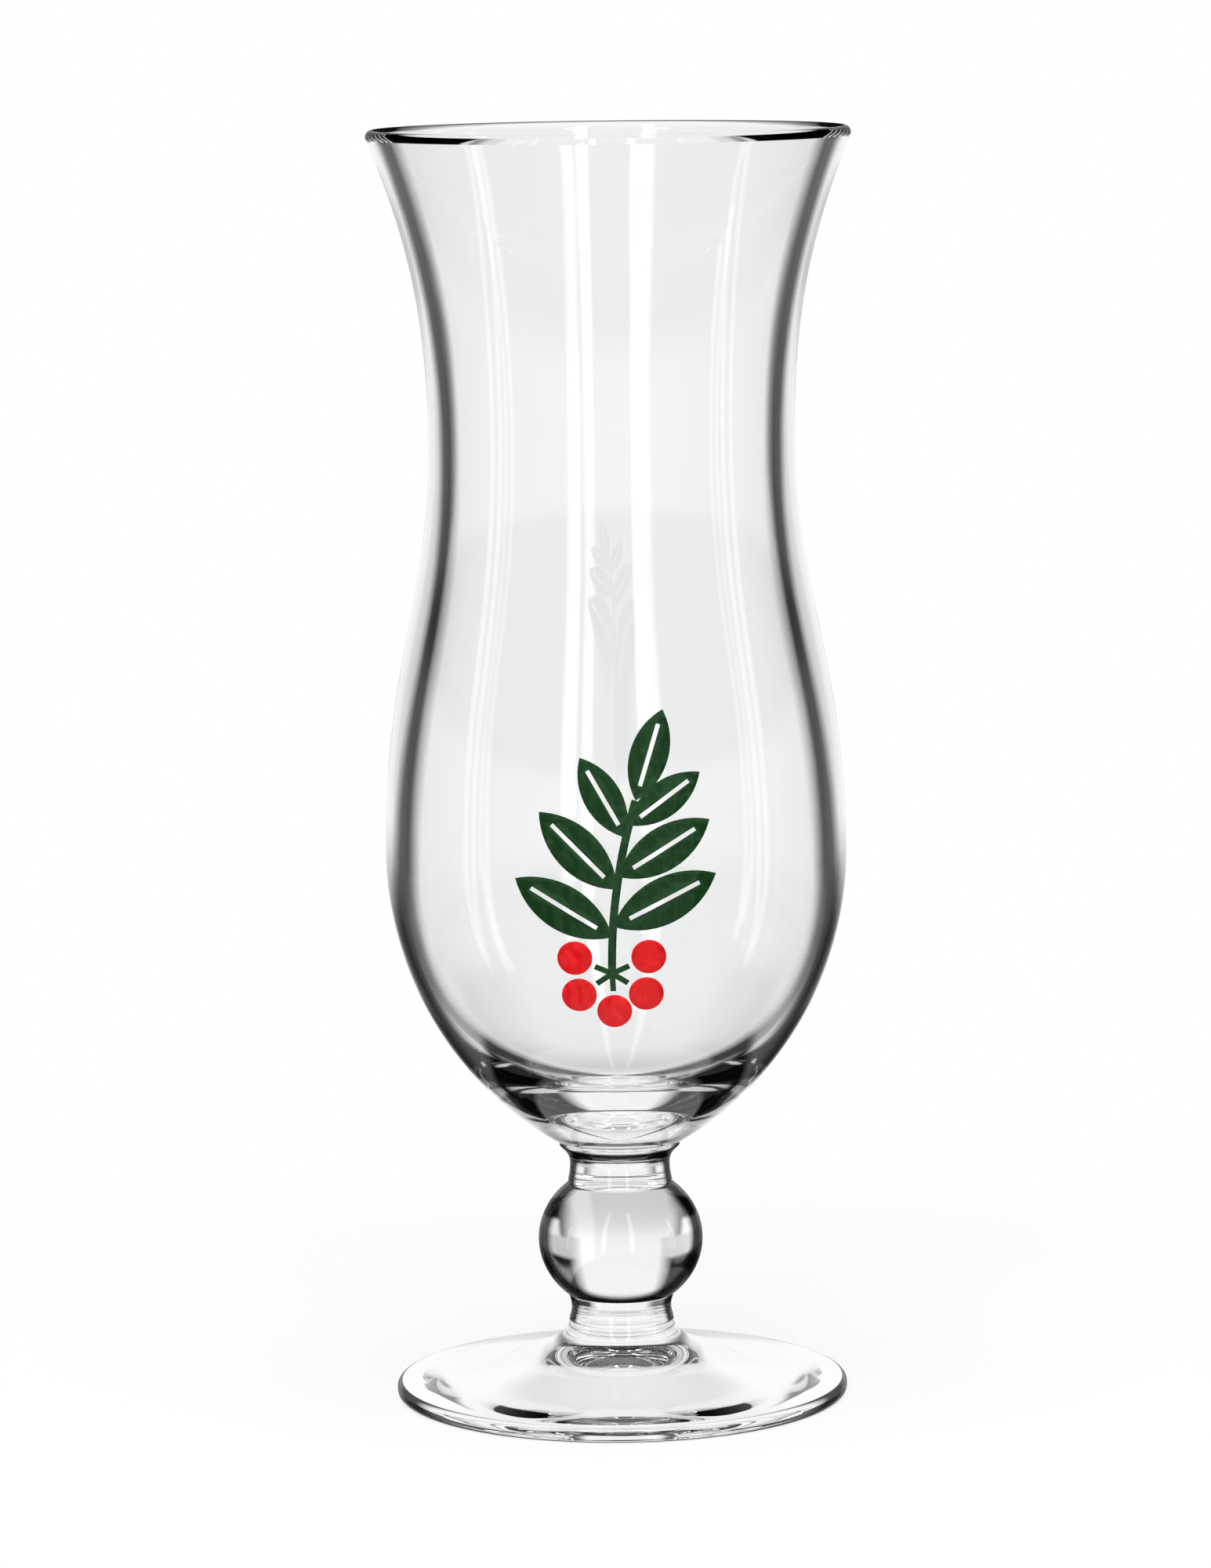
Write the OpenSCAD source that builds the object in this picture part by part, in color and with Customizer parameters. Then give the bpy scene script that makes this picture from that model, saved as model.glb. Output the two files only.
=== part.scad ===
// Hurricane glass: a flared bowl on a ball stem and a round foot, with a
// two-colour sprig printed on the front of the belly.
// The glass stands on z = 0 with its axis on Z and its printed front towards -Y.
// Every piece of glass is turned about Z, and each meets the next on a flat welded face.

/* [Bowl] */
// Height of the bowl from its weld to the lip
bowl_h = 167.5; // [150:0.5:210]
// Outer diameter of the lip
lip_d = 79; // [72:0.5:96]
// Thickness of the rounded lip
lip_t = 2.2; // [1.5:0.1:3]
// Lean of the wall at the lip, from upright
lip_lean = 21.5; // [10:0.5:30]
// Outer diameter of the waist
waist_d = 60; // [50:0.5:70]
// Height of the waist above the weld
waist_rise = 116.7; // [100:0.1:135]
// Outer diameter of the belly
belly_d = 76; // [66:0.5:90]
// Height of the belly above the weld
belly_rise = 48.5; // [42:0.5:60]
// Thickness of the bowl's wall at the waist
waist_wall_t = 3.3; // [2:0.1:4]
// Thickness of the bowl's wall at the belly
belly_wall_t = 3.2; // [2:0.1:4]
// Thickness of the glass under the bowl's floor, on the axis
floor_t = 7; // [5:0.5:14]
// Diameter of the bowl's weld on the upper neck
root_d = 20; // [17:0.5:24]
// Slope of the bowl's underside where it leaves the weld
underside_angle = 31.5; // [25:0.5:40]

/* [Stem] */
// Height of the upper neck, between the bowl and the ball
upper_neck_h = 7; // [5:0.5:12]
// Height of the ball between its two welds
knop_h = 18.7; // [15:0.1:24]
// Greatest diameter of the ball
knop_d = 27.3; // [23:0.1:34]
// Height of the lower neck, between the ball and the foot
lower_neck_h = 4.3; // [3:0.1:8]
// Diameter of both necks at their narrowest
neck_d = 16.6; // [14:0.2:19]
// Diameter of the welds at the top and the bottom of the ball
seat_d = 17.4; // [15:0.2:22]
// Height of the edge band under the bowl's weld
root_edge_h = 0.5; // [0.3:0.1:1]

/* [Foot] */
// Diameter of the foot
foot_d = 75; // [64:0.5:90]
// Height of the foot from the table to its weld
foot_h = 12.5; // [10:0.5:16]
// Thickness of the foot at its edge
foot_edge_t = 2.6; // [2.4:0.1:4]
// Rounding of the foot's edge
foot_round = 1.1; // [0.6:0.1:1.2]
// Slope of the foot's top at the edge
foot_slope = 11.5; // [6:0.5:16]
// Width of the flat ring that the glass stands on
ring_w = 3.6; // [2:0.2:8]
// Depth of the domed hollow under the foot
hollow_t = 5.5; // [2:0.5:7]

/* [Print] */
// Height of the sprig's middle above the bowl's weld
print_rise = 48; // [42:0.5:58]
// Length of a leaf
leaf_l = 17; // [12:0.5:20]
// Width of a leaf
leaf_w = 7; // [5:0.5:9]
// Width of the bare vein down a leaf
vein_w = 0.7; // [0.4:0.1:1.2]
// Width of the sprig's stem
twig_w = 1.3; // [0.8:0.1:2.5]
// Radius of the curve that the stem follows
twig_bend_r = 90; // [60:1:150]
// Length of the stem along that curve
twig_l = 29; // [25:1:34]
// Diameter of a berry
berry_d = 5.6; // [4:0.2:5.8]
// Length of a berry's stalk
stalk_l = 3; // [3:0.5:6]
// Lean of the sprig from upright
sprig_lean = 8; // [0:1:20]
// Thickness of the fired print
print_t = 0.15; // [0.1:0.01:0.3]
// Gap between the print and the glass under it
print_gap = 0.05; // [0.02:0.01:0.1]

/* [Hidden] */
$fn = 96;

// Steps in each long curve, in each short one and round the lip
long_steps = 14;
short_steps = 8;
lip_steps = 8;

// Pull of each curve's handles, as shares of the span that they shape
lip_pull_share = 0.28;
waist_top_pull_share = 0.47;
waist_low_pull_share = 0.375;
belly_top_pull_share = 0.47;
belly_low_pull_share = 0.15;
root_pull_share = 0.925;
hollow_side_pull_share = 0.6;
floor_pull_share = 0.62;
neck_pull_share = 0.5;
foot_top_pull_share = 0.74;
foot_neck_pull_share = 0.42;

// Radii and heights worked out from the sizes above
lip_r = lip_d / 2;
waist_r = waist_d / 2;
belly_r = belly_d / 2;
root_r = root_d / 2;
knop_r = knop_d / 2;
neck_r = neck_d / 2;
seat_r = seat_d / 2;
foot_r = foot_d / 2;
lower_neck_z = foot_h;
knop_z = lower_neck_z + lower_neck_h;
upper_neck_z = knop_z + knop_h;
bowl_z = upper_neck_z + upper_neck_h;

clear_glass = [0.88, 0.91, 0.91, 0.4];
print_green = [0.11, 0.27, 0.13];
print_red = [0.85, 0.13, 0.15];

// Leaves: share of the stem's length, angle with the stem, share of the leaf length
leaf_shares = [
    [0.23, 62, 1.06], [0.29, -60, 1.08], [0.5, 53, 1.02],
    [0.57, -50, 1], [0.79, 43, 0.86], [0.86, -40, 0.82], [1, 0, 0.88]
];
// Share of a leaf's length where its vein starts and ends
vein_start_share = 0.16;
vein_end_share = 0.84;
// Angles with the stem of the berries' stalks, and their share of the stem's length
berry_angles = [-124, -66, 66, 124, 182];
berry_place_share = 0.02;
// Width of a berry's stalk as a share of the stem's width
stalk_w_share = 0.7;
// Gap between a berry and the end of its stalk as a share of the berry's diameter
berry_gap_share = 0.12;

// Points along a curve from a to d, pulled towards b and c, without its first point
function curve(a, b, c, d, steps) = [
    for (i = [1 : steps])
        let (t = i / steps, u = 1 - t)
        u * u * u * a + 3 * u * u * t * b + 3 * u * t * t * c + t * t * t * d
];

// Points along a circle's arc, with both ends
function arc(centre, r, from_angle, to_angle, steps) = [
    for (i = [0 : steps])
        let (angle = from_angle + (to_angle - from_angle) * i / steps)
        centre + r * [cos(angle), sin(angle)]
];

function backwards(points) = [for (i = [len(points) - 1 : -1 : 0]) points[i]];

// Direction of the wall at the lip, and the middle of the rounded lip
lip_way = [sin(lip_lean), cos(lip_lean)];
lip_centre = [lip_r - lip_t / 2, bowl_h - lip_t / 2];
lip_out = lip_centre + lip_t / 2 * [cos(lip_lean), -sin(lip_lean)];
lip_in = lip_centre - lip_t / 2 * [cos(lip_lean), -sin(lip_lean)];

// Side of the bowl from the belly up to the lip, for the outer and the inner face
function side(belly, waist, lip) = concat(
    curve(belly,
        belly + [0, belly_top_pull_share * (waist.y - belly.y)],
        waist - [0, waist_low_pull_share * (waist.y - belly.y)],
        waist, long_steps),
    curve(waist,
        waist + [0, waist_top_pull_share * (lip.y - waist.y)],
        lip - lip_pull_share * (lip.y - waist.y) / lip_way.y * lip_way,
        lip, long_steps));

// Underside of the bowl from the weld out to the belly
function underside(root, belly) =
    let (reach = root_pull_share * (belly.x - root.x))
    curve(root,
        root + reach * [1, tan(underside_angle)],
        belly - [0, belly_low_pull_share * (belly.y - root.y)],
        belly, long_steps);

// Floor of the bowl from the inside of the belly down to the axis
function floor_curve(belly, middle) =
    curve(belly,
        belly - [0, hollow_side_pull_share * (belly.y - middle.y)],
        middle + [floor_pull_share * belly.x, 0],
        middle, long_steps);

root_edge = [root_r, 0];
belly_out = [belly_r, belly_rise];
waist_out = [waist_r, waist_rise];
belly_in = [belly_r - belly_wall_t, belly_rise];
waist_in = [waist_r - waist_wall_t, waist_rise];
floor_middle = [0, floor_t];

module turned(points) {
    rotate_extrude() polygon(points);
}

module bowl() {
    outer = concat([root_edge], underside(root_edge, belly_out), side(belly_out, waist_out, lip_out));
    inner = concat([belly_in], side(belly_in, waist_in, lip_in));
    lip = arc(lip_centre, lip_t / 2, -lip_lean, 180 - lip_lean, lip_steps);
    color(clear_glass)
    translate([0, 0, bowl_z])
    turned(concat([[0, 0]], outer, lip, backwards(inner), floor_curve(belly_in, floor_middle)));
}

// Wall of a neck from a seat on the ball, in to the neck's narrowest place
function neck_wall(seat, narrow) =
    curve(seat,
        seat + [neck_pull_share * (narrow.x - seat.x), neck_pull_share * (narrow.y - seat.y)],
        narrow - [0, neck_pull_share * (narrow.y - seat.y)],
        narrow, short_steps);

// The upper neck flares under the bowl's weld and again where it meets the ball
module upper_neck() {
    narrow = [neck_r, upper_neck_h / 2];
    flare = [root_r, upper_neck_h - root_edge_h];
    color(clear_glass)
    translate([0, 0, upper_neck_z])
    turned(concat(
        [[0, 0], [seat_r, 0]],
        neck_wall([seat_r, 0], narrow),
        curve(narrow,
            narrow + [0, neck_pull_share * (flare.y - narrow.y)],
            flare - neck_pull_share * [flare.x - narrow.x, flare.x - narrow.x],
            flare, short_steps),
        [[root_r, upper_neck_h], [0, upper_neck_h]]));
}

// The ball is a slightly flattened sphere, cut flat at its two welds
module ball_knop() {
    cut_angle = acos(seat_r / knop_r);
    half_h = knop_h / 2;
    tall_r = half_h / sin(cut_angle);
    steps = 2 * long_steps;
    color(clear_glass)
    translate([0, 0, knop_z])
    turned(concat(
        [[0, 0]],
        [for (i = [0 : steps])
            let (angle = -cut_angle + 2 * cut_angle * i / steps)
            [knop_r * cos(angle), half_h + tall_r * sin(angle)]],
        [[0, knop_h]]));
}

module lower_neck() {
    narrow = [neck_r, lower_neck_h / 2];
    color(clear_glass)
    translate([0, 0, lower_neck_z])
    turned(concat(
        [[0, 0], [seat_r, 0]],
        neck_wall([seat_r, 0], narrow),
        backwards([for (p = concat([[seat_r, 0]], neck_wall([seat_r, 0], narrow)))
            [p.x, lower_neck_h - p.y]]),
        [[0, lower_neck_h]]));
}

// Height of the hollow over the table, for a share of the way out to the standing ring
function hollow_rise(share) = hollow_t * pow(1 - share * share, 2);

// The foot: a domed hollow, a flat ring to stand on, a rounded edge and a flared top
module foot() {
    ring_in_r = foot_r - foot_round - ring_w;
    edge_x = foot_r - foot_round;
    edge_top = arc([edge_x, foot_edge_t - foot_round], foot_round, 0, 90 - foot_slope, short_steps);
    top_start = edge_top[short_steps];
    top_end = [seat_r, foot_h];
    run = foot_top_pull_share * (top_start.x - top_end.x);
    color(clear_glass)
    turned(concat(
        [for (i = [0 : long_steps])
            [ring_in_r * i / long_steps, hollow_rise(i / long_steps)]],
        arc([edge_x, foot_round], foot_round, -90, 0, short_steps),
        edge_top,
        curve(top_start,
            top_start + run * [-1, tan(foot_slope)],
            top_end - [0, foot_neck_pull_share * (foot_h - top_start.y)],
            top_end, long_steps),
        [[0, foot_h]]));
}

// The thin skin over the belly's front that the print fills
module print_skin() {
    face = concat([root_edge], underside(root_edge, belly_out), side(belly_out, waist_out, lip_out));
    near = [for (p = face) p + [print_gap, 0]];
    far = [for (p = face) p + [print_gap + print_t, 0]];
    intersection() {
        translate([0, 0, bowl_z])
        turned(concat(near, backwards(far)));
        translate([0, 0, bowl_z + print_rise])
        rotate([90, 0, 0])
        linear_extrude(belly_d)
        children();
    }
}

// Moves its children to a share of the stem's length, with the stem running towards +Y
module along_twig(share) {
    swing = twig_l / twig_bend_r * (share - 0.5) * 180 / PI;
    translate([twig_bend_r, 0])
    rotate(-swing)
    translate([-twig_bend_r, 0])
    children();
}

// A pointed leaf that grows from the origin towards +Y, between two arcs
module leaf(size_share) {
    length = leaf_l * size_share;
    half_w = leaf_w * size_share / 2;
    arc_r = (length * length / 4 + half_w * half_w) / (2 * half_w);
    difference() {
        intersection_for (side = [-1, 1])
            translate([side * (arc_r - half_w), length / 2])
            circle(arc_r);
        translate([-vein_w / 2, vein_start_share * length])
        square([vein_w, (vein_end_share - vein_start_share) * length]);
    }
}

module twig() {
    half_swing = twig_l / twig_bend_r / 2 * 180 / PI;
    reach = 2 * twig_bend_r;
    intersection() {
        translate([twig_bend_r, 0])
        difference() {
            circle(twig_bend_r + twig_w / 2);
            circle(twig_bend_r - twig_w / 2);
        }
        translate([twig_bend_r, 0])
        polygon([
            [0, 0],
            reach * [-cos(half_swing), -sin(half_swing)],
            reach * [-cos(half_swing), sin(half_swing)]
        ]);
    }
}

module green_print() {
    color(print_green)
    print_skin()
    rotate(-sprig_lean)
    union() {
        twig();
        for (place = leaf_shares)
            along_twig(place[0])
            rotate(place[1])
            leaf(place[2]);
        for (angle = berry_angles)
            along_twig(berry_place_share)
            rotate(angle)
            translate([-twig_w * stalk_w_share / 2, 0])
            square([twig_w * stalk_w_share, stalk_l]);
    }
}

module red_print() {
    color(print_red)
    print_skin()
    rotate(-sprig_lean)
    union() {
        for (angle = berry_angles)
            along_twig(berry_place_share)
            rotate(angle)
            translate([0, stalk_l + berry_gap_share * berry_d + berry_d / 2])
            circle(berry_d / 2);
    }
}

bowl();
upper_neck();
ball_knop();
lower_neck();
foot();
green_print();
red_print();
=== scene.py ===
import math
import bpy
from mathutils import Euler, Matrix, Vector
from mathutils.geometry import delaunay_2d_cdt


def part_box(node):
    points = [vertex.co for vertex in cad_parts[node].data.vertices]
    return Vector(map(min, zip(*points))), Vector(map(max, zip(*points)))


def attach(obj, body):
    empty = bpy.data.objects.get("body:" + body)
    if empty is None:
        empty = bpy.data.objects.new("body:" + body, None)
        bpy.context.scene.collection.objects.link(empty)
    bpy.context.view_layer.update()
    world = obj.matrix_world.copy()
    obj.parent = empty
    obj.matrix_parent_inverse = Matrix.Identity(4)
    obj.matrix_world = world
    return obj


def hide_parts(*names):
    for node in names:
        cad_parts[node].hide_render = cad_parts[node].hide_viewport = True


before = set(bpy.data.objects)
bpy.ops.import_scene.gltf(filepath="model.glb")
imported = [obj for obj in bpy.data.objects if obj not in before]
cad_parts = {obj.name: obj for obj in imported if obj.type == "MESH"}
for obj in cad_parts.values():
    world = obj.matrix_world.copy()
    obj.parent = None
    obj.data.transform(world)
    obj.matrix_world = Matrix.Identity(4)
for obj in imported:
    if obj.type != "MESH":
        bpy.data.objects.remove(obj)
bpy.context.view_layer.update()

MM = 0.001

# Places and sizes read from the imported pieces
BOWL_LOW, BOWL_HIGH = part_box("bowl")
UPPER_LOW, UPPER_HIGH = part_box("upper_neck")
KNOP_LOW, KNOP_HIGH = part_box("ball_knop")
LOWER_LOW, LOWER_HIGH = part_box("lower_neck")
FOOT_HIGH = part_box("foot")[1]

LIP_R = BOWL_HIGH[0]
LIP_Z = BOWL_HIGH[2]
ROOT_Z = BOWL_LOW[2]
ROOT_R = UPPER_HIGH[0]
KNOP_R = KNOP_HIGH[0]
SEAT_R = LOWER_HIGH[0]
FOOT_R = FOOT_HIGH[0]
FOOT_TOP_Z = FOOT_HIGH[2]

# Sizes of the bowl between those places
LIP_T = 2.2 * MM
LIP_LEAN = math.radians(21.5)
WAIST_R = 30 * MM
WAIST_RISE = 116.7 * MM
BELLY_R = 38 * MM
BELLY_RISE = 48.5 * MM
WAIST_WALL_T = 3.3 * MM
BELLY_WALL_T = 3.2 * MM
FLOOR_T = 7 * MM
UNDERSIDE_SLOPE = math.radians(31.5)
NECK_R = 8.3 * MM
ROOT_EDGE_H = 0.5 * MM

# Pulls of the bowl's curves, as shares of the spans that they shape
LIP_PULL = 0.28
WAIST_TOP_PULL = 0.47
WAIST_LOW_PULL = 0.375
BELLY_TOP_PULL = 0.47
BELLY_LOW_PULL = 0.15
ROOT_PULL = 0.925
FLOOR_SIDE_PULL = 0.6
FLOOR_PULL = 0.62
NECK_PULL = 0.5

# Sizes of the foot, and the pulls of its top
EDGE_T = 2.6 * MM
EDGE_ROUND = 1.1 * MM
TOP_SLOPE = math.radians(11.5)
RING_W = 3.6 * MM
HOLLOW_H = 5.5 * MM
TOP_EDGE_PULL = 0.74
TOP_STEM_PULL = 0.42

# Smoothness of the turned pieces
TURN_STEPS = 256
LONG_STEPS = 60
SHORT_STEPS = 20
NEAR_AXIS = 1e-7


def curve(a, b, c, d, steps):
    """Points along a smooth curve from a to d, pulled towards b and c, without its first."""
    points = []
    for i in range(1, steps + 1):
        t = i / steps
        u = 1 - t
        points.append(u ** 3 * a + 3 * u * u * t * b + 3 * u * t * t * c + t ** 3 * d)
    return points


def arc(centre, radius, start, end, steps):
    """Points along a circle's arc, with both ends."""
    points = []
    for i in range(steps + 1):
        angle = start + (end - start) * i / steps
        points.append(centre + radius * Vector((math.cos(angle), math.sin(angle))))
    return points


def side(belly, waist, lip):
    """Side of the bowl from the belly up to the lip."""
    low = waist.y - belly.y
    high = lip.y - waist.y
    way = Vector((math.tan(LIP_LEAN), 1))
    lower = curve(belly, belly + Vector((0, BELLY_TOP_PULL * low)),
                  waist - Vector((0, WAIST_LOW_PULL * low)), waist, LONG_STEPS)
    upper = curve(waist, waist + Vector((0, WAIST_TOP_PULL * high)),
                  lip - LIP_PULL * high * way, lip, LONG_STEPS)
    return lower + upper


def outer_wall():
    """Outer face of the bowl from the weld to the lip."""
    root = Vector((ROOT_R, ROOT_Z))
    belly = Vector((BELLY_R, ROOT_Z + BELLY_RISE))
    waist = Vector((WAIST_R, ROOT_Z + WAIST_RISE))
    centre = Vector((LIP_R - LIP_T / 2, LIP_Z - LIP_T / 2))
    lip = centre + LIP_T / 2 * Vector((math.cos(LIP_LEAN), -math.sin(LIP_LEAN)))
    reach = ROOT_PULL * (belly.x - root.x)
    under = curve(root, root + reach * Vector((1, math.tan(UNDERSIDE_SLOPE))),
                  belly - Vector((0, BELLY_LOW_PULL * BELLY_RISE)), belly, LONG_STEPS)
    return [root] + under + side(belly, waist, lip)


def bowl_profile():
    """The bowl's whole outline, and where in it the lip and the inner face start."""
    belly = Vector((BELLY_R - BELLY_WALL_T, ROOT_Z + BELLY_RISE))
    waist = Vector((WAIST_R - WAIST_WALL_T, ROOT_Z + WAIST_RISE))
    centre = Vector((LIP_R - LIP_T / 2, LIP_Z - LIP_T / 2))
    lip = centre - LIP_T / 2 * Vector((math.cos(LIP_LEAN), -math.sin(LIP_LEAN)))
    middle = Vector((0, ROOT_Z + FLOOR_T))
    rim = arc(centre, LIP_T / 2, -LIP_LEAN, math.pi - LIP_LEAN, SHORT_STEPS)
    inner = [belly] + side(belly, waist, lip)
    floor = curve(belly, belly - Vector((0, FLOOR_SIDE_PULL * (belly.y - middle.y))),
                  middle + Vector((FLOOR_PULL * belly.x, 0)), middle, LONG_STEPS)
    wall = outer_wall()
    outer = wall + rim[1:-1]
    return outer + inner[::-1] + floor, len(wall) - 1, len(outer)


def lathe(name, profile, skin, weld, closed_low, closed_high, zones=()):
    """Turn a profile of (radius, height) points into a closed mesh about Z.

    closed_low and closed_high say whether a flat weld face closes the mesh at its first
    and at its last point. zones gives other materials to parts of the profile: first
    place, last place, material.
    """
    verts = []
    faces = []
    kinds = []
    rings = []
    for p in profile:
        if p.x < NEAR_AXIS:
            rings.append([len(verts)] * TURN_STEPS)
            verts.append((0, 0, p.y))
            continue
        ring = []
        for i in range(TURN_STEPS):
            angle = 2 * math.pi * i / TURN_STEPS
            ring.append(len(verts))
            verts.append((p.x * math.cos(angle), p.x * math.sin(angle), p.y))
        rings.append(ring)
    for place, (low, high) in enumerate(zip(rings, rings[1:])):
        kind = 0
        for slot, (start, end, _) in enumerate(zones):
            if start <= place < end:
                kind = 2 + slot
        for i in range(TURN_STEPS):
            j = (i + 1) % TURN_STEPS
            corners = []
            for corner in (low[i], low[j], high[j], high[i]):
                if corner not in corners:
                    corners.append(corner)
            faces.append(corners)
            kinds.append(kind)
    for wanted, ring, flip in ((closed_low, rings[0], True), (closed_high, rings[-1], False)):
        if wanted:
            faces.append(ring[::-1] if flip else ring)
            kinds.append(1)
    mesh = bpy.data.meshes.new(name)
    mesh.from_pydata(verts, [], faces)
    mesh.materials.append(skin)
    mesh.materials.append(weld)
    for zone in zones:
        mesh.materials.append(zone[2])
    for polygon, kind in zip(mesh.polygons, kinds):
        polygon.material_index = kind
        polygon.use_smooth = kind != 1
    mesh.validate()
    piece = bpy.data.objects.new(name, mesh)
    bpy.context.scene.collection.objects.link(piece)
    return piece


def node(tree, kind, **values):
    """Add a node and set its plain inputs by name."""
    made = tree.nodes.new(kind)
    for key, value in values.items():
        if hasattr(made, key):
            setattr(made, key, value)
        else:
            made.inputs[key.replace("_", " ")].default_value = value
    return made


def smooth_step(tree, source, start, end, low, high):
    """A soft step of a value between two places."""
    step = node(tree, "ShaderNodeMapRange", interpolation_type="SMOOTHSTEP")
    step.inputs["From Min"].default_value = start
    step.inputs["From Max"].default_value = end
    step.inputs["To Min"].default_value = low
    step.inputs["To Max"].default_value = high
    tree.links.new(source, step.inputs["Value"])
    return step.outputs[0]


def math_node(tree, operation, *sources):
    """A sum or a function of numbers and sockets."""
    made = node(tree, "ShaderNodeMath", operation=operation)
    for place, source in enumerate(sources):
        if isinstance(source, (int, float)):
            made.inputs[place].default_value = source
        else:
            tree.links.new(source, made.inputs[place])
    return made.outputs[0]


def grey_ramp(tree, source, stops):
    """Levels between places from 0 to 1."""
    ramp = tree.nodes.new("ShaderNodeValToRGB")
    points = ramp.color_ramp.elements
    points.remove(points[1])
    for place, (position, level) in enumerate(stops):
        point = points[0] if place == 0 else points.new(position)
        point.position = position
        point.color = (level, level, level, 1)
    tree.links.new(source, ramp.inputs[0])
    return ramp.outputs[0]


def two_tones(tree, source, places, colours):
    """A soft step from one colour to another."""
    ramp = tree.nodes.new("ShaderNodeValToRGB")
    for point, place, colour in zip(ramp.color_ramp.elements, places, colours):
        point.position = place
        point.color = (*colour, 1)
    tree.links.new(source, ramp.inputs[0])
    return ramp.outputs[0]


def mix_shaders(tree, share, first, second):
    """A mix of two shaders by a share of the second."""
    mix = tree.nodes.new("ShaderNodeMixShader")
    if isinstance(share, float):
        mix.inputs[0].default_value = share
    else:
        tree.links.new(share, mix.inputs[0])
    tree.links.new(first, mix.inputs[1])
    tree.links.new(second, mix.inputs[2])
    return mix.outputs[0]


def uneven_face(tree, shader, scale, detail, strength, height):
    """A fine unevenness of a shader's surface."""
    place = tree.nodes.new("ShaderNodeTexCoord")
    noise = node(tree, "ShaderNodeTexNoise", Scale=scale, Detail=detail)
    tree.links.new(place.outputs["Object"], noise.inputs["Vector"])
    bump = node(tree, "ShaderNodeBump", Strength=strength, Distance=height)
    tree.links.new(noise.outputs[0], bump.inputs["Height"])
    tree.links.new(bump.outputs[0], shader.inputs["Normal"])


def uneven_colour(tree, shader, scale, detail, places, colours):
    """A cloudy change of a shader's colour."""
    place = tree.nodes.new("ShaderNodeTexCoord")
    noise = node(tree, "ShaderNodeTexNoise", Scale=scale, Detail=detail)
    tree.links.new(place.outputs["Object"], noise.inputs["Vector"])
    tree.links.new(two_tones(tree, noise.outputs[0], places, colours), shader.inputs["Base Color"])


def new_material(name):
    material = bpy.data.materials.new(name)
    material.use_nodes = True
    tree = material.node_tree
    tree.nodes.clear()
    out = tree.nodes.new("ShaderNodeOutputMaterial")
    return material, tree, out


def weld_face():
    """The fused weld between two pieces of glass, which light crosses unchanged."""
    material, tree, out = new_material("weld_face")
    shader = tree.nodes.new("ShaderNodeBsdfTransparent")
    tree.links.new(shader.outputs[0], out.inputs["Surface"])
    return material


# Glass: how much it bends light, its tints with their places, and its faint waviness
GLASS_BEND = 1.52
LIP_BEND = 1.06
CORD_TINTS = ((0.982, 0.99, 0.988), (0.99, 0.995, 0.993))
CORD_PLACES = (0.3, 0.7)
CORD_SCALE = 60.0
CORD_DETAIL = 2.0
WAVE_SCALE = 90.0
WAVE_DETAIL = 1.0
WAVE_STRENGTH = 0.5
WAVE_HEIGHT = 0.00003
# Colour of the painted shade that draws the glass's dark lines
PAINTED_SHADE_COLOUR = (0.004, 0.004, 0.004, 1)

# Painted shade, as dark lines where the glass turns away: shares of facing away, each
# with how much painted shade is mixed in. The first two are for the bowl's inner face,
# met from the glass and from the air.
GRAZE_IN_GLASS = ((0, 0), (0.208, 0), (0.23, 0.5), (0.243, 0.95), (0.263, 0.95), (0.273, 0.5),
                  (0.285, 0))
GRAZE_IN_AIR = ((0, 0), (0.65, 0), (0.75, 0.4), (0.82, 0.7), (0.88, 0.92), (1, 0.92))
EDGE_LINE = ((0, 0), (0.44, 0), (0.5, 0.45), (0.56, 0.92), (0.7, 0.92), (0.8, 0.75), (1, 0.7))
BELLY_LINE = ((0, 0), (0.55, 0), (0.65, 0.5), (0.75, 0.9), (0.85, 0.9), (1, 0.3))
LIP_LINE = ((0, 0), (0.35, 0), (0.55, 0.1), (0.75, 0.4), (1, 0.7))
CREST_LINE = ((0, 0), (0.3, 0), (0.5, 0.6), (0.7, 0.85), (1, 0.85))
# Half the width of the change from the lip's inner half to its outer half
CREST_LEAN = 0.1
# Heights between which the painted dark line on the lower bowl comes in, and between which it ends
BELLY_LINE_LOW = (0.05, 0.056)
BELLY_LINE_HIGH = (0.078, 0.1)
# Shares of a level view between which the painted dark lines on the bowl's inner face and lip come
# in
LEVEL_VIEW = (0.35, 0.65)


def plain_glass(tree, bend=GLASS_BEND):
    """Fire-polished glass: faint cords in its tint and a slight waviness."""
    shader = node(tree, "ShaderNodeBsdfPrincipled")
    shader.inputs["Roughness"].default_value = 0.0
    shader.inputs["IOR"].default_value = bend
    shader.inputs["Transmission Weight"].default_value = 1.0
    uneven_colour(tree, shader, CORD_SCALE, CORD_DETAIL, CORD_PLACES, CORD_TINTS)
    uneven_face(tree, shader, WAVE_SCALE, WAVE_DETAIL, WAVE_STRENGTH, WAVE_HEIGHT)
    return shader


def mix_in_painted_shade(tree, out, shader, share):
    """Glass with a share of painted shade: a near-black diffuse mixed in for its dark lines."""
    shade_paint = tree.nodes.new("ShaderNodeBsdfDiffuse")
    shade_paint.inputs["Color"].default_value = PAINTED_SHADE_COLOUR
    tree.links.new(mix_shaders(tree, share, shader.outputs[0], shade_paint.outputs[0]),
                   out.inputs["Surface"])


def outer_line(tree, place, stops):
    """Share of painted shade where a face met from the air turns away."""
    graze = node(tree, "ShaderNodeLayerWeight", Blend=0.5)
    outside = math_node(tree, "SUBTRACT", 1, place.outputs["Backfacing"])
    return math_node(tree, "MULTIPLY", outside,
                     grey_ramp(tree, graze.outputs["Facing"], stops))


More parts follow.
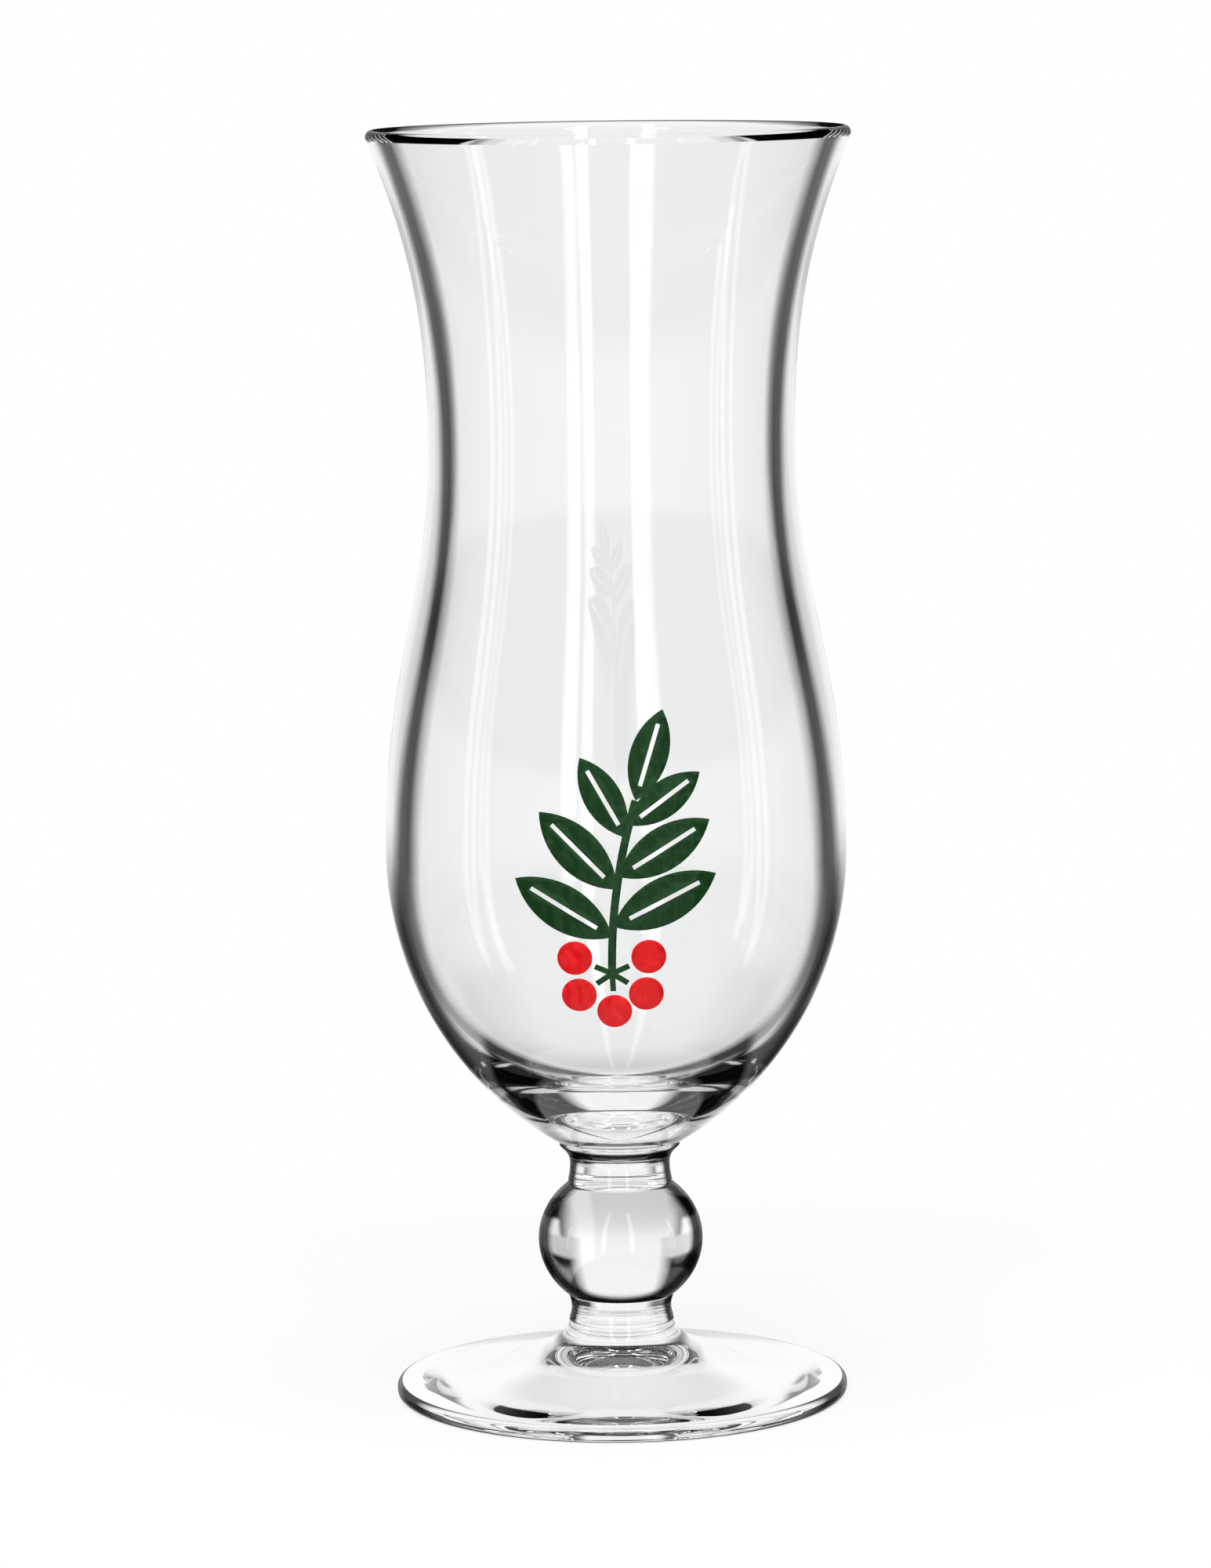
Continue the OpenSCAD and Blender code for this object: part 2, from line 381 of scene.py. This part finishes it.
def edge_glass():
    """Glass with painted shade: a dark line where its outer face turns away."""
    material, tree, out = new_material("edge_glass")
    place = tree.nodes.new("ShaderNodeNewGeometry")
    mix_in_painted_shade(tree, out, plain_glass(tree), outer_line(tree, place, EDGE_LINE))
    return material


def clear_glass():
    """Clear glass with painted shade: a dark line where the lower bowl turns away."""
    material, tree, out = new_material("clear_glass")
    place = tree.nodes.new("ShaderNodeNewGeometry")
    split = tree.nodes.new("ShaderNodeSeparateXYZ")
    tree.links.new(place.outputs["Position"], split.inputs[0])
    share = outer_line(tree, place, BELLY_LINE)
    for low, high, before, after in ((*BELLY_LINE_LOW, 0, 1), (*BELLY_LINE_HIGH, 1, 0)):
        within = smooth_step(tree, split.outputs["Z"], low, high, before, after)
        share = math_node(tree, "MULTIPLY", share, within)
    mix_in_painted_shade(tree, out, plain_glass(tree), share)
    return material


def outward_side(tree):
    """Level direction away from the glass's axis."""
    place = tree.nodes.new("ShaderNodeNewGeometry")
    flat = node(tree, "ShaderNodeVectorMath", operation="MULTIPLY")
    flat.inputs[1].default_value = (1, 1, 0)
    tree.links.new(place.outputs["Position"], flat.inputs[0])
    outward = node(tree, "ShaderNodeVectorMath", operation="NORMALIZE")
    tree.links.new(flat.outputs[0], outward.inputs[0])
    return outward.outputs[0]


def sideways_graze(tree):
    """How far the bowl's round turns away from the view, seen from above."""
    graze = node(tree, "ShaderNodeLayerWeight", Blend=0.5)
    tree.links.new(outward_side(tree), graze.inputs["Normal"])
    return graze.outputs["Facing"]


def level_view(tree):
    """How level the view is: 1 from the side, 0 from well above or below."""
    upright = node(tree, "ShaderNodeVectorMath", operation="NORMALIZE")
    upright.inputs[0].default_value = (0, 0, 1)
    above = node(tree, "ShaderNodeLayerWeight", Blend=0.5)
    tree.links.new(upright.outputs[0], above.inputs["Normal"])
    return smooth_step(tree, above.outputs["Facing"], *LEVEL_VIEW, 0, 1)


def lip_glass():
    """The fine round of the lip, which hardly bends the light.

    Its ends get painted shade, and so does the crest of its inner half.
    """
    material, tree, out = new_material("lip_glass")
    place = tree.nodes.new("ShaderNodeNewGeometry")
    lean = node(tree, "ShaderNodeVectorMath", operation="DOT_PRODUCT")
    tree.links.new(place.outputs["Normal"], lean.inputs[0])
    tree.links.new(outward_side(tree), lean.inputs[1])
    inward = smooth_step(tree, lean.outputs["Value"], -CREST_LEAN, CREST_LEAN, 1, 0)
    crest = math_node(tree, "MULTIPLY", outer_line(tree, place, CREST_LINE), inward)
    ends = grey_ramp(tree, sideways_graze(tree), LIP_LINE)
    share = math_node(tree, "ADD", ends, crest)
    share = math_node(tree, "MULTIPLY", share, level_view(tree))
    mix_in_painted_shade(tree, out, plain_glass(tree, LIP_BEND), share)
    return material


def inner_glass():
    """The bowl's inner face, with painted shade where light grazes it sideways."""
    material, tree, out = new_material("inner_glass")
    place = tree.nodes.new("ShaderNodeNewGeometry")
    graze = sideways_graze(tree)
    # Share of painted shade, met from the air or from the glass
    graze_shade = node(tree, "ShaderNodeMix", data_type="FLOAT")
    tree.links.new(place.outputs["Backfacing"], graze_shade.inputs[0])
    tree.links.new(grey_ramp(tree, graze, GRAZE_IN_AIR), graze_shade.inputs[2])
    tree.links.new(grey_ramp(tree, graze, GRAZE_IN_GLASS), graze_shade.inputs[3])
    share = math_node(tree, "MULTIPLY", graze_shade.outputs[0], level_view(tree))
    mix_in_painted_shade(tree, out, plain_glass(tree), share)
    return material


GLASS = clear_glass()
INNER = inner_glass()
EDGE = edge_glass()
LIP = lip_glass()
WELD = weld_face()


def make_bowl():
    profile, lip_from, inner_from = bowl_profile()
    piece = lathe("glass_bowl", profile, GLASS, WELD, True, False,
                  ((lip_from, inner_from, LIP), (inner_from, len(profile), INNER)))
    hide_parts("bowl")
    return piece


def neck_wall(seat, narrow):
    """Side of a neck from its weld to its narrowest."""
    pull = Vector((0, NECK_PULL * (narrow.y - seat.y)))
    return curve(seat, seat + NECK_PULL * (narrow - seat), narrow - pull, narrow, SHORT_STEPS)


def make_upper_neck():
    seat = Vector((SEAT_R, UPPER_LOW[2]))
    narrow = Vector((NECK_R, (UPPER_LOW[2] + UPPER_HIGH[2]) / 2))
    flare = Vector((ROOT_R, UPPER_HIGH[2] - ROOT_EDGE_H))
    out = NECK_PULL * (flare.x - narrow.x)
    profile = [seat] + neck_wall(seat, narrow)
    profile += curve(narrow, narrow + Vector((0, NECK_PULL * (flare.y - narrow.y))),
                     flare - Vector((out, out)), flare, SHORT_STEPS)
    profile.append(Vector((ROOT_R, UPPER_HIGH[2])))
    piece = lathe("glass_upper_neck", profile, EDGE, WELD, True, True)
    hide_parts("upper_neck")
    return piece


def make_ball():
    low = KNOP_LOW[2]
    half = (KNOP_HIGH[2] - low) / 2
    cut = math.acos(SEAT_R / KNOP_R)
    tall = half / math.sin(cut)
    profile = []
    for i in range(LONG_STEPS + 1):
        angle = -cut + 2 * cut * i / LONG_STEPS
        profile.append(Vector((KNOP_R * math.cos(angle), low + half + tall * math.sin(angle))))
    piece = lathe("glass_ball", profile, EDGE, WELD, True, True)
    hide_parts("ball_knop")
    return piece


def make_lower_neck():
    low = LOWER_LOW[2]
    high = LOWER_HIGH[2]
    seat = Vector((SEAT_R, low))
    narrow = Vector((NECK_R, (low + high) / 2))
    half = [seat] + neck_wall(seat, narrow)
    profile = half + [Vector((p.x, low + high - p.y)) for p in half[-2::-1]]
    piece = lathe("glass_lower_neck", profile, EDGE, WELD, True, True)
    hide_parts("lower_neck")
    return piece


def make_foot():
    edge_x = FOOT_R - EDGE_ROUND
    ring_in = edge_x - RING_W
    under = []
    for i in range(LONG_STEPS + 1):
        share = i / LONG_STEPS
        under.append(Vector((ring_in * share, HOLLOW_H * (1 - share * share) ** 2)))
    top_edge = arc(Vector((edge_x, EDGE_T - EDGE_ROUND)), EDGE_ROUND,
                   0, math.pi / 2 - TOP_SLOPE, SHORT_STEPS)
    start = top_edge[-1]
    end = Vector((SEAT_R, FOOT_TOP_Z))
    run = TOP_EDGE_PULL * (start.x - end.x)
    profile = list(under)
    profile += arc(Vector((edge_x, EDGE_ROUND)), EDGE_ROUND, -math.pi / 2, 0, SHORT_STEPS)
    profile += top_edge
    profile += curve(start, start + run * Vector((-1, math.tan(TOP_SLOPE))),
                     end - Vector((0, TOP_STEM_PULL * (FOOT_TOP_Z - start.y))), end,
                     LONG_STEPS)
    piece = lathe("glass_foot", profile, GLASS, WELD, False, True,
                  ((len(under), len(under) + 2 * SHORT_STEPS, EDGE),))
    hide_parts("foot")
    return piece


# Enamel: gloss, then its unevenness in colour and surface, and its colours
ENAMEL_ROUGHNESS = 0.32
ENAMEL_SHINE = 0.2
CLOUD_SCALE = 900.0
CLOUD_DETAIL = 3.0
CLOUD_PLACES = (0.35, 0.65)
GRAIN_SCALE = 4000.0
GRAIN_DETAIL = 2.0
GRAIN_STRENGTH = 0.15
GRAIN_HEIGHT = 0.00005
GREEN_SHADES = ((0.009, 0.048, 0.012), (0.011, 0.056, 0.014))
RED_SHADES = ((0.93, 0.01, 0.013), (0.97, 0.012, 0.016))


def enamel(name, shades):
    """Fired enamel: satin, faintly uneven in colour and surface."""
    material, tree, out = new_material(name)
    shader = node(tree, "ShaderNodeBsdfPrincipled")
    shader.inputs["Roughness"].default_value = ENAMEL_ROUGHNESS
    shader.inputs["Specular IOR Level"].default_value = ENAMEL_SHINE
    uneven_colour(tree, shader, CLOUD_SCALE, CLOUD_DETAIL, CLOUD_PLACES, shades)
    uneven_face(tree, shader, GRAIN_SCALE, GRAIN_DETAIL, GRAIN_STRENGTH, GRAIN_HEIGHT)
    tree.links.new(shader.outputs[0], out.inputs["Surface"])
    return material


# The sprig, in millimetres, as the solids have it. A leaf has its place on the twig, its
# lean in degrees and its size.
PRINT_RISE = 48
LEAF_L = 17
LEAF_W = 7
VEIN_W = 0.7
TWIG_W = 1.3
TWIG_BEND_R = 90
TWIG_L = 29
BERRY_D = 5.6
STALK_L = 3
SPRIG_LEAN = math.radians(8)
PRINT_T = 0.15
PRINT_GAP = 0.05
LEAVES = ((0.23, 62, 1.06), (0.29, -60, 1.08), (0.5, 53, 1.02),
          (0.57, -50, 1), (0.79, 43, 0.86), (0.86, -40, 0.82), (1, 0, 0.88))
VEIN_START = 0.16
VEIN_END = 0.84
STALKS = (-124, -66, 66, 124, 182)
STALK_PLACE = 0.02
STALK_W = 0.7 * TWIG_W
BERRY_GAP = 0.12
LEAF_STEPS = 20
BERRY_STEPS = 48
GRID = 0.9
MERGE_GAP = 0.0005


def turn_about(angle):
    return Matrix.Rotation(angle, 3, "Z")


def shift_by(x, y):
    return Matrix(((1, 0, x), (0, 1, y), (0, 0, 1)))


def twig_place(share):
    """Place of a share of the twig's length in the sprig's plane."""
    swing = TWIG_L / TWIG_BEND_R * (share - 0.5)
    return (turn_about(-SPRIG_LEAN) @ shift_by(TWIG_BEND_R, 0) @ turn_about(-swing)
            @ shift_by(-TWIG_BEND_R, 0))


def box_loop(x0, y0, x1, y1):
    return [(x0, y0), (x1, y0), (x1, y1), (x0, y1)]


class Shape:
    """A flat outline in its own place, with a test for what lies inside it."""

    def __init__(self, place, loops, holds):
        self.place = place
        self.back = place.inverted()
        self.loops = loops
        self.holds = holds

    def outline(self):
        for loop in self.loops:
            yield [(self.place @ Vector((x, y, 1))).xy for x, y in loop]

    def contains(self, point):
        p = self.back @ Vector((point[0], point[1], 1))
        return self.holds(p.x, p.y)


def leaf_shape(share, angle, size):
    length = LEAF_L * size
    half = LEAF_W * size / 2
    bow = (length * length / 4 + half * half) / (2 * half)
    middle = bow - half
    swing = math.asin(length / 2 / bow)
    loop = []
    for way in (1, -1):
        for i in range(LEAF_STEPS):
            turn = -swing + 2 * swing * i / LEAF_STEPS
            loop.append((way * (bow * math.cos(turn) - middle),
                         length / 2 + way * bow * math.sin(turn)))
    low = VEIN_START * length
    high = VEIN_END * length

    def holds(x, y):
        far = math.hypot(abs(x) + middle, y - length / 2)
        return far < bow and not (abs(x) < VEIN_W / 2 and low < y < high)

    return Shape(twig_place(share) @ turn_about(math.radians(angle)),
                 [loop, box_loop(-VEIN_W / 2, low, VEIN_W / 2, high)], holds)


def twig_shape():
    swing = TWIG_L / TWIG_BEND_R / 2
    loop = []
    for way in (1, -1):
        radius = TWIG_BEND_R + way * TWIG_W / 2
        for i in range(LEAF_STEPS + 1):
            turn = way * (-swing + 2 * swing * i / LEAF_STEPS)
            loop.append((TWIG_BEND_R - radius * math.cos(turn), radius * math.sin(turn)))

    def holds(x, y):
        radius = math.hypot(x - TWIG_BEND_R, y)
        return (abs(radius - TWIG_BEND_R) < TWIG_W / 2
                and abs(math.atan2(y, TWIG_BEND_R - x)) < swing)

    return Shape(turn_about(-SPRIG_LEAN), [loop], holds)


def stalk_shape(angle):
    return Shape(twig_place(STALK_PLACE) @ turn_about(math.radians(angle)),
                 [box_loop(-STALK_W / 2, 0, STALK_W / 2, STALK_L)],
                 lambda x, y: abs(x) < STALK_W / 2 and 0 < y < STALK_L)


def berry_shape(angle):
    radius = BERRY_D / 2
    middle = STALK_L + BERRY_GAP * BERRY_D + radius
    loop = []
    for i in range(BERRY_STEPS):
        turn = 2 * math.pi * i / BERRY_STEPS
        loop.append((radius * math.cos(turn), middle + radius * math.sin(turn)))
    return Shape(twig_place(STALK_PLACE) @ turn_about(math.radians(angle)), [loop],
                 lambda x, y: math.hypot(x, y - middle) < radius)


WALL = outer_wall()


def wall_radius(z):
    """Radius of the bowl's outer face at a height."""
    for low, high in zip(WALL, WALL[1:]):
        if low.y <= z <= high.y:
            return low.x + (high.x - low.x) * (z - low.y) / (high.y - low.y)
    return WALL[-1].x


def on_belly(point, offset):
    """A place of the flat print, laid on the belly's front."""
    x = point[0] * MM
    z = ROOT_Z + (PRINT_RISE + point[1]) * MM
    radius = wall_radius(z) + offset * MM
    return (x, -math.sqrt(radius * radius - x * x), z)


def print_mesh(name, shapes, skin):
    """Join flat shapes, lay them on the belly's front and give them thickness."""
    points = []
    edges = []
    for shape in shapes:
        for loop in shape.outline():
            start = len(points)
            points.extend(loop)
            edges.extend((start + i, start + (i + 1) % len(loop)) for i in range(len(loop)))
    low_x = min(p[0] for p in points)
    high_x = max(p[0] for p in points)
    low_y = min(p[1] for p in points)
    high_y = max(p[1] for p in points)
    y = low_y
    while y < high_y:
        x = low_x
        while x < high_x:
            if any(shape.contains((x, y)) for shape in shapes):
                points.append(Vector((x, y)))
            x += GRID
        y += GRID
    flat, _, faces, _, _, _ = delaunay_2d_cdt(points, edges, [], 0, MERGE_GAP)
    kept = []
    for face in faces:
        middle = sum((flat[i] for i in face), Vector((0, 0))) / len(face)
        if any(shape.contains(middle) for shape in shapes):
            kept.append(face)
    used = sorted({i for face in kept for i in face})
    order = {old: new for new, old in enumerate(used)}
    count = len(used)
    verts = [on_belly(flat[i], PRINT_GAP + PRINT_T) for i in used]
    verts += [on_belly(flat[i], PRINT_GAP) for i in used]
    front = [[order[i] for i in face] for face in kept]
    borders = {}
    for face in front:
        for a, b in zip(face, face[1:] + face[:1]):
            borders[(a, b)] = (b, a) not in borders or borders.pop((b, a)) is None
    sides = [(b, a, a + count, b + count) for a, b in borders]
    back = [[i + count for i in reversed(face)] for face in front]
    mesh = bpy.data.meshes.new(name)
    mesh.from_pydata(verts, [], front + back + sides)
    mesh.materials.append(skin)
    for place, polygon in enumerate(mesh.polygons):
        polygon.use_smooth = place < len(front)
    mesh.validate()
    piece = bpy.data.objects.new(name, mesh)
    bpy.context.scene.collection.objects.link(piece)
    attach(piece, "root")
    return piece


sprig_shapes = [twig_shape()] + [leaf_shape(*leaf) for leaf in LEAVES]
sprig_shapes += [stalk_shape(angle) for angle in STALKS]
sprig = print_mesh("print_sprig", sprig_shapes, enamel("green_enamel", GREEN_SHADES))
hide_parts("green_print")
berries = print_mesh("print_berries", [berry_shape(angle) for angle in STALKS],
                     enamel("red_enamel", RED_SHADES))
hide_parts("red_print")

for made in (make_bowl(), make_upper_neck(), make_ball(), make_lower_neck(), make_foot()):
    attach(made, "root")


# Studio, as light that has passed through glass meets it. A band gives turns in degrees
# round the upright axis from straight behind, each with its level of light. The others
# are angles of rise in degrees between which a level changes.
LOW_BAND = ((0, 0.95), (14, 0.95), (22, 0.75), (30, 0.6), (95, 0.6), (130, 0.7), (150, 0.8),
            (180, 0.8))
HIGH_BAND = ((0, 0.95), (20, 0.95), (30, 0.01), (180, 0.01))
FLOOR_BAND = ((0, 0.95), (22, 0.95), (30, 0.3), (36, 0.02), (113, 0.02),
              (126, 0.5), (132, 0.85), (180, 0.85))
OUTER_BAND = ((0, 0), (30, 0), (36, 0.9), (75, 0.9), (85, 0), (180, 0))
LOW_TOP = (2, 6)
HIGH_TOP = (25, 35)
TOP_LEVEL = 0.02
DOWN = (-16.5, -9.7)
DOWN_LEVEL = 0.75
# Levels of the fill left and right, and how softly one becomes the other
FILL_LEFT = 0.03
FILL_RIGHT = 0.09
FILL_SOFT = 0.3
# Strip lights: turn from straight in front, half width, top, radiance
STRIPS = ((-24, 3.5, 70, 3.0), (16, 3.5, 70, 3.0), (-80, 1.9, 20, 2.4), (80, 1.9, 32, 2.4))
STRIP_SOFT = 1.2
STRIP_TOP_SOFT = 2

# Floor: distances from the axis between which its painted light changes, then levels
FLOOR_FOOT = (0.039, 0.045)
FLOOR_WHITE_R = 0.15
FLOOR_GREY = 0.7
FLOOR_OUTER = (0.07, 0.085)
FLOOR_FADE = (0.13, 0.19)
FLOOR_LIGHT_SHARE = 0.8
FLOOR_STEPS = 128
WHITE = (1, 1, 1, 1)

# Camera: place, angles in degrees, lens and sensor in millimetres
CAMERA_PLACE = (0, -1.022, 0.2409)
CAMERA_PITCH = math.radians(7.724)
CAMERA_PAN = math.radians(0.092)
CAMERA_ROLL = math.radians(-0.68)
CAMERA_LENS = 143.63
CAMERA_SENSOR = 36
CAMERA_NEAR = 0.01

# Lamps: size, radiance and place. The overhead lamp leans away from the glass.
OVERHEAD_SIZE = 1.2
OVERHEAD_RADIANCE = 3.2
OVERHEAD_PLACE = Vector((0, -0.3, 0.9))
FRONT_SIZE = 0.8
FRONT_RADIANCE = 4.0
FRONT_PLACE = Vector((-0.3, -1.3, 0.5))
FRONT_AIM = Vector((0, 0, 0.1))

MOST_BOUNCES = 24
MOST_GLOSSY_BOUNCES = 12


def band(tree, turn, stops):
    """Level of light round the glass, the same on both sides."""
    return grey_ramp(tree, math_node(tree, "DIVIDE", turn, math.pi),
                     [(angle / 180, level) for angle, level in stops])


def studio_light(tree, x, y, z, low_stops, strips):
    """Light that reaches the glass from a direction. Without strips it has no fill."""
    length = math_node(tree, "SQRT", math_node(tree, "ADD", math_node(tree, "MULTIPLY", x, x),
                                               math_node(tree, "MULTIPLY", y, y)))
    rise = math_node(tree, "ARCTAN2", z, length)
    turn = math_node(tree, "ABSOLUTE", math_node(tree, "ARCTAN2", x, y))
    front = math_node(tree, "ARCTAN2", x, math_node(tree, "MULTIPLY", y, -1))

    def step(source, places, low, high):
        start, end = places
        return smooth_step(tree, source, math.radians(start), math.radians(end), low, high)

    low = math_node(tree, "MULTIPLY", band(tree, turn, low_stops), step(rise, LOW_TOP, 1, 0))
    low = math_node(tree, "MAXIMUM", low, step(rise, DOWN, DOWN_LEVEL, 0))
    high = math_node(tree, "MULTIPLY", band(tree, turn, HIGH_BAND), step(rise, HIGH_TOP, 1, 0))
    level = math_node(tree, "MAXIMUM", step(rise, HIGH_TOP, 0, TOP_LEVEL),
                      math_node(tree, "MAXIMUM", low, high))
    if strips:
        level_rise = math_node(tree, "MULTIPLY", step(rise, DOWN, 0, 1),
                               step(rise, LOW_TOP, 1, 0))
        fill = math_node(tree, "MULTIPLY", level_rise,
                         smooth_step(tree, x, -FILL_SOFT, FILL_SOFT, FILL_LEFT, FILL_RIGHT))
        level = math_node(tree, "MAXIMUM", level, fill)
    for middle, half, highest, radiance in strips:
        away = math_node(tree, "ABSOLUTE",
                         math_node(tree, "SUBTRACT", front, math.radians(middle)))
        strip = math_node(tree, "MULTIPLY",
                          step(away, (half - STRIP_SOFT, half + STRIP_SOFT), radiance, 0),
                          step(rise, (highest - STRIP_TOP_SOFT, highest + STRIP_TOP_SOFT), 1, 0))
        level = math_node(tree, "MAXIMUM", level, strip)
    return level


def make_world():
    """White behind for the camera; for the glass, a lit studio with dark parts."""
    world = bpy.data.worlds.new("studio")
    bpy.context.scene.world = world
    world.use_nodes = True
    tree = world.node_tree
    tree.nodes.clear()
    out = tree.nodes.new("ShaderNodeOutputWorld")
    ray = tree.nodes.new("ShaderNodeLightPath")
    place = tree.nodes.new("ShaderNodeTexCoord")
    split = tree.nodes.new("ShaderNodeSeparateXYZ")
    tree.links.new(place.outputs["Generated"], split.inputs[0])
    studio = tree.nodes.new("ShaderNodeBackground")
    studio.inputs["Color"].default_value = WHITE
    tree.links.new(studio_light(tree, *split.outputs, LOW_BAND, STRIPS), studio.inputs["Strength"])
    white = tree.nodes.new("ShaderNodeBackground")
    white.inputs["Color"].default_value = WHITE
    white.inputs["Strength"].default_value = 1
    tree.links.new(mix_shaders(tree, ray.outputs["Is Camera Ray"], studio.outputs[0],
                               white.outputs[0]),
                   out.inputs["Surface"])


def floor_glow(tree, place):
    """Painted light that the table top gives to what is not the camera, darker and brighter by
    turn round the glass.
    """
    reach = node(tree, "ShaderNodeVectorMath", operation="LENGTH")
    tree.links.new(place, reach.inputs[0])
    split = tree.nodes.new("ShaderNodeSeparateXYZ")
    tree.links.new(place, split.inputs[0])
    distance = reach.outputs["Value"]
    around = math_node(tree, "ABSOLUTE", math_node(tree, "ARCTAN2", split.outputs["X"],
                                                   split.outputs["Y"]))
    near = smooth_step(tree, distance, *FLOOR_FOOT, 1, 0)
    far = math_node(tree, "MULTIPLY",
                    smooth_step(tree, distance, FLOOR_FOOT[1], FLOOR_WHITE_R, FLOOR_GREY, 1),
                    studio_light(tree, *split.outputs, FLOOR_BAND, ()))
    outer = math_node(tree, "MULTIPLY", band(tree, around, OUTER_BAND),
                      smooth_step(tree, distance, *FLOOR_OUTER, 0, 1))
    glow = tree.nodes.new("ShaderNodeEmission")
    glow.inputs["Color"].default_value = WHITE
    tree.links.new(math_node(tree, "MAXIMUM", near, math_node(tree, "MAXIMUM", far, outer)),
                   glow.inputs["Strength"])
    return glow.outputs[0], distance


def make_floor():
    """A round white table top that keeps a part of the glass's shadow and fades out."""
    material, tree, out = new_material("white_floor")
    cloth = node(tree, "ShaderNodeBsdfDiffuse")
    cloth.inputs["Color"].default_value = WHITE
    light = tree.nodes.new("ShaderNodeEmission")
    light.inputs["Color"].default_value = WHITE
    lit = mix_shaders(tree, FLOOR_LIGHT_SHARE, cloth.outputs[0], light.outputs[0])
    place = tree.nodes.new("ShaderNodeNewGeometry")
    glow, distance = floor_glow(tree, place.outputs["Position"])
    ray = tree.nodes.new("ShaderNodeLightPath")
    seen = mix_shaders(tree, ray.outputs["Is Camera Ray"], glow, lit)
    clear = tree.nodes.new("ShaderNodeBsdfTransparent")
    fade = smooth_step(tree, distance, *FLOOR_FADE, 0, 1)
    tree.links.new(mix_shaders(tree, fade, seen, clear.outputs[0]), out.inputs["Surface"])
    radius = FLOOR_FADE[1]
    ring = []
    for i in range(FLOOR_STEPS):
        angle = 2 * math.pi * i / FLOOR_STEPS
        ring.append((radius * math.cos(angle), radius * math.sin(angle), 0))
    mesh = bpy.data.meshes.new("floor")
    mesh.from_pydata(ring, [], [list(range(FLOOR_STEPS))])
    mesh.materials.append(material)
    floor = bpy.data.objects.new("floor", mesh)
    bpy.context.scene.collection.objects.link(floor)


def make_camera():
    """The camera at the photograph's place: just above the lip, looking a little down."""
    data = bpy.data.cameras.new("camera")
    data.sensor_width = CAMERA_SENSOR
    data.lens = CAMERA_LENS
    data.clip_start = CAMERA_NEAR
    camera = bpy.data.objects.new("camera", data)
    bpy.context.scene.collection.objects.link(camera)
    turn = Euler((math.pi / 2 - CAMERA_PITCH, 0, CAMERA_PAN), "XYZ").to_matrix()
    turn = turn @ Matrix.Rotation(CAMERA_ROLL, 3, "Z")
    camera.matrix_world = Matrix.Translation(CAMERA_PLACE) @ turn.to_4x4()
    bpy.context.scene.camera = camera


def make_lamp(name, size, radiance, place):
    """A round lamp that no view and no glass shows."""
    light = bpy.data.lights.new(name, "AREA")
    light.shape = "DISK"
    light.size = size
    light.energy = radiance * math.pi * math.pi * (size / 2) ** 2
    lamp = bpy.data.objects.new(name, light)
    bpy.context.scene.collection.objects.link(lamp)
    lamp.location = place
    lamp.visible_camera = False
    lamp.visible_glossy = False
    lamp.visible_transmission = False
    return lamp


make_world()
make_floor()
overhead = make_lamp("overhead", OVERHEAD_SIZE, OVERHEAD_RADIANCE, OVERHEAD_PLACE)
overhead.rotation_euler = Euler((math.atan2(OVERHEAD_PLACE.y, OVERHEAD_PLACE.z), 0, 0))
front_lamp = make_lamp("front", FRONT_SIZE, FRONT_RADIANCE, FRONT_PLACE)
front_lamp.rotation_euler = (FRONT_AIM - FRONT_PLACE).to_track_quat("-Z", "Y").to_euler()
make_camera()

scene = bpy.context.scene
scene.view_settings.view_transform = "Standard"
scene.cycles.max_bounces = MOST_BOUNCES
scene.cycles.transmission_bounces = MOST_BOUNCES
scene.cycles.transparent_max_bounces = MOST_BOUNCES
scene.cycles.glossy_bounces = MOST_GLOSSY_BOUNCES
